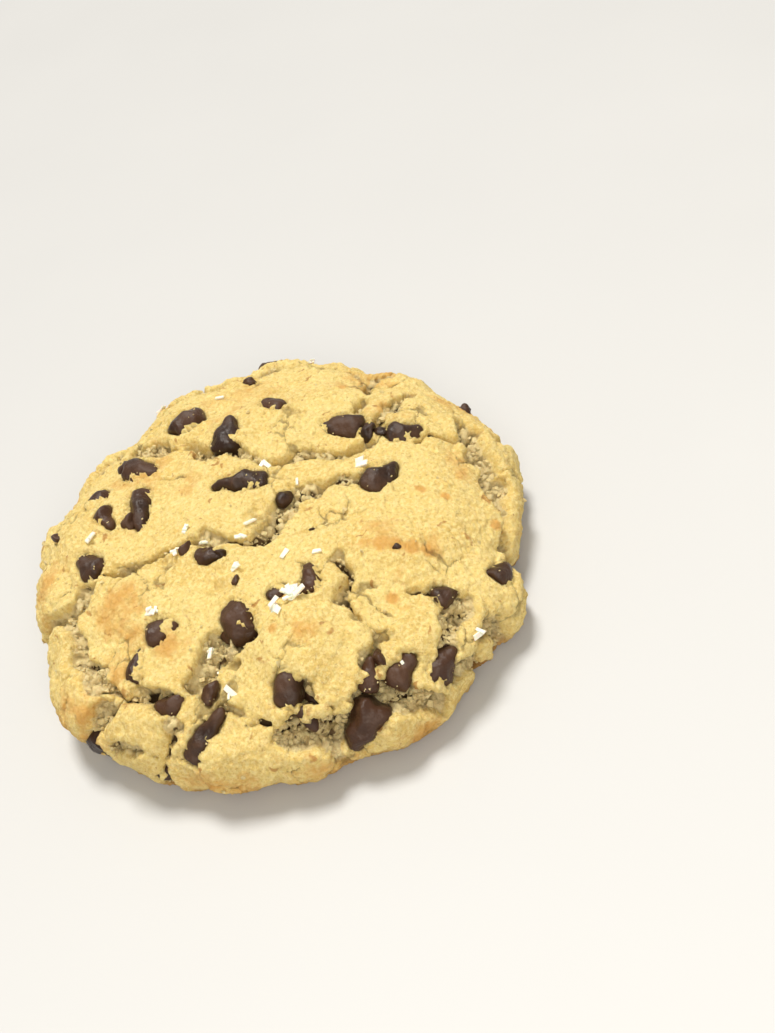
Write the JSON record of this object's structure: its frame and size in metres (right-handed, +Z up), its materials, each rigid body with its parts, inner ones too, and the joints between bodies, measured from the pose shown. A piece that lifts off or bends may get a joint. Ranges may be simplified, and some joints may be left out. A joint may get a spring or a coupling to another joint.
{
  "type": "chocolate chip cookie",
  "caption": "Thick round cookie with a cracked, craggy top, chocolate chips set in its dough and flakes of sea salt on its crust.",
  "frame": {"origin": "bottom centre of the cookie, on the surface that it lies on", "axes": "+Z up out of the baked top, -Y towards the side with the open crevice and the largest chips"},
  "size_m": [0.108, 0.1126, 0.0287],
  "materials": {
    "dough": "matte",
    "chocolate": "satin"
  },
  "bodies": {
    "root": {"dough": "dough", "chip_01": "chocolate", "chip_02": "chocolate", "chip_03": "chocolate", "chip_04": "chocolate", "chip_05": "chocolate", "chip_06": "chocolate", "chip_07": "chocolate", "chip_08": "chocolate", "chip_09": "chocolate", "chip_10": "chocolate", "chip_11": "chocolate", "chip_12": "chocolate", "chip_13": "chocolate", "chip_14": "chocolate", "chip_15": "chocolate", "chip_16": "chocolate", "chip_17": "chocolate", "chip_18": "chocolate", "chip_19": "chocolate", "chip_20": "chocolate", "chip_21": "chocolate", "chip_22": "chocolate", "chip_23": "chocolate", "chip_24": "chocolate", "chip_25": "chocolate", "chip_26": "chocolate", "chip_27": "chocolate", "chip_28": "chocolate", "chip_29": "chocolate", "chip_30": "chocolate", "chip_31": "chocolate", "chip_32": "chocolate", "chip_33": "chocolate", "chip_34": "chocolate", "chip_35": "chocolate", "chip_36": "chocolate", "chip_37": "chocolate", "chip_38": "chocolate", "chip_39": "chocolate", "chip_40": "chocolate", "chip_41": "chocolate", "chip_42": "chocolate"}
  },
  "joints": []
}
